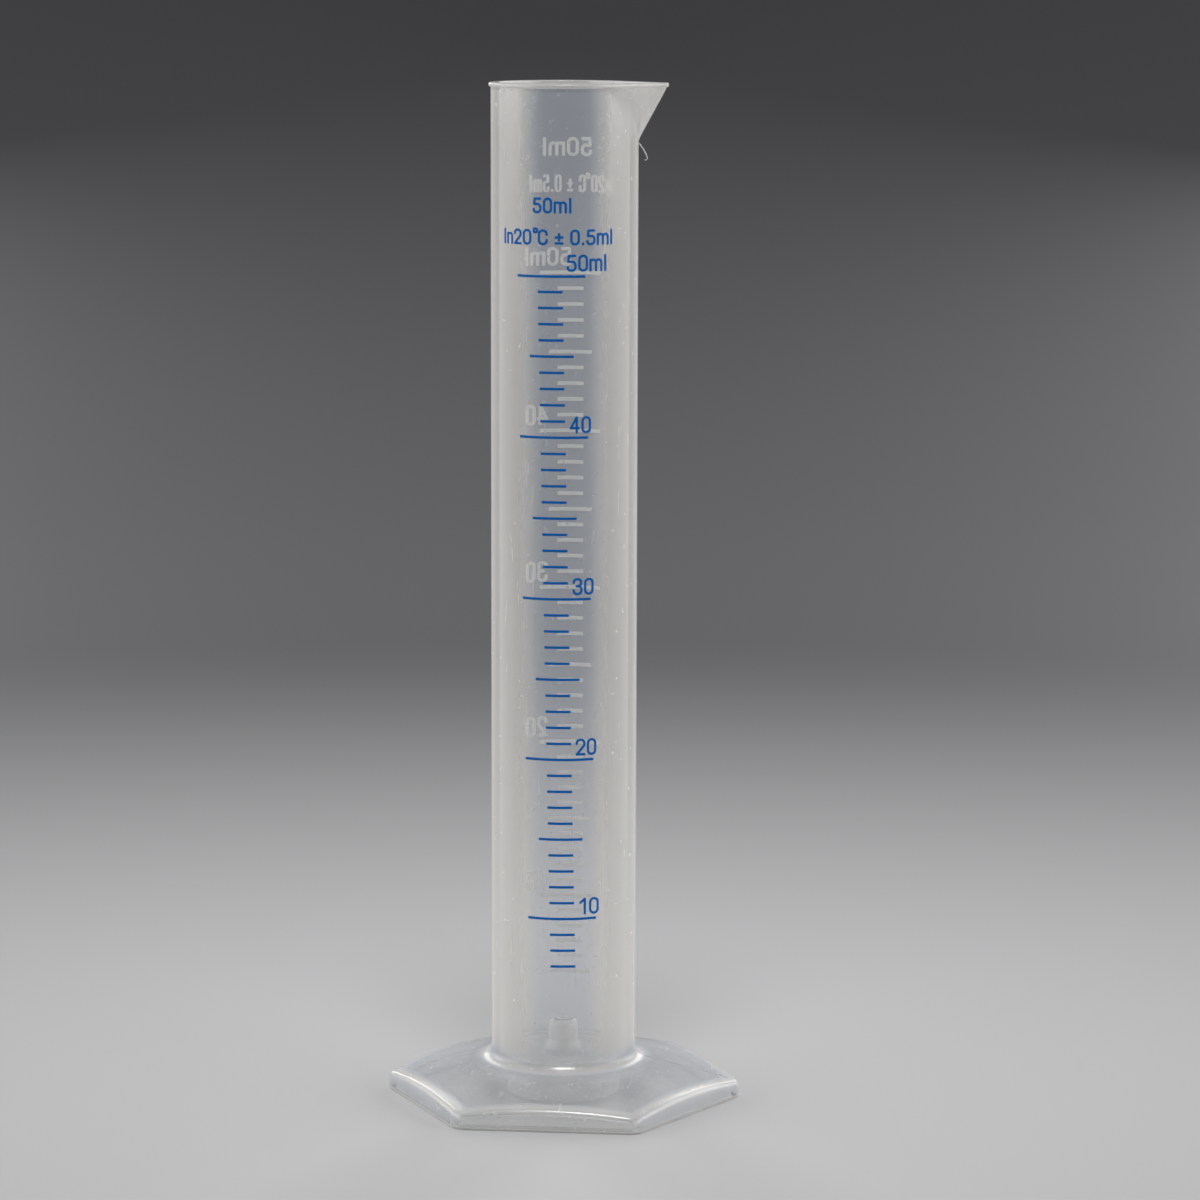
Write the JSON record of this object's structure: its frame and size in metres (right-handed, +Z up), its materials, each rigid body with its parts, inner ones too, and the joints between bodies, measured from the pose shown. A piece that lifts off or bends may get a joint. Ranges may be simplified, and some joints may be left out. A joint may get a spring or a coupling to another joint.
{
  "type": "graduated cylinder",
  "caption": "Tall translucent measuring cylinder with a pouring spout, printed and moulded volume scales, and a hexagonal foot.",
  "frame": {"origin": "on the tube's axis, at the surface the foot stands on", "axes": "+Z up the tube, +X towards the pouring spout and a corner of the foot, -Y towards the reader of the printed scale"},
  "size_m": [0.0602, 0.053, 0.1717],
  "materials": {
    "clear_polypropylene": "translucent milky moulded polypropylene, satin gloss",
    "scale_ink": "thin blue screen-printed ink"
  },
  "bodies": {
    "root": {"barrel": "clear_polypropylene", "pouring_spout": "clear_polypropylene", "rim_bead": "clear_polypropylene", "barrel_floor": "clear_polypropylene", "gate_boss": "clear_polypropylene", "support_ring": "clear_polypropylene", "foot_shell": "clear_polypropylene", "parting_line": "clear_polypropylene", "relief_one_ml_marks": "clear_polypropylene", "relief_five_ml_marks": "clear_polypropylene", "relief_ten_ml_marks": "clear_polypropylene", "relief_numerals": "clear_polypropylene", "relief_unit_label": "clear_polypropylene", "relief_capacity": "clear_polypropylene", "relief_tolerance": "clear_polypropylene", "ink_one_ml_marks": "scale_ink", "ink_five_ml_marks": "scale_ink", "ink_ten_ml_marks": "scale_ink", "ink_numerals": "scale_ink", "ink_unit_label": "scale_ink", "ink_capacity": "scale_ink", "ink_tolerance": "scale_ink"}
  },
  "joints": []
}
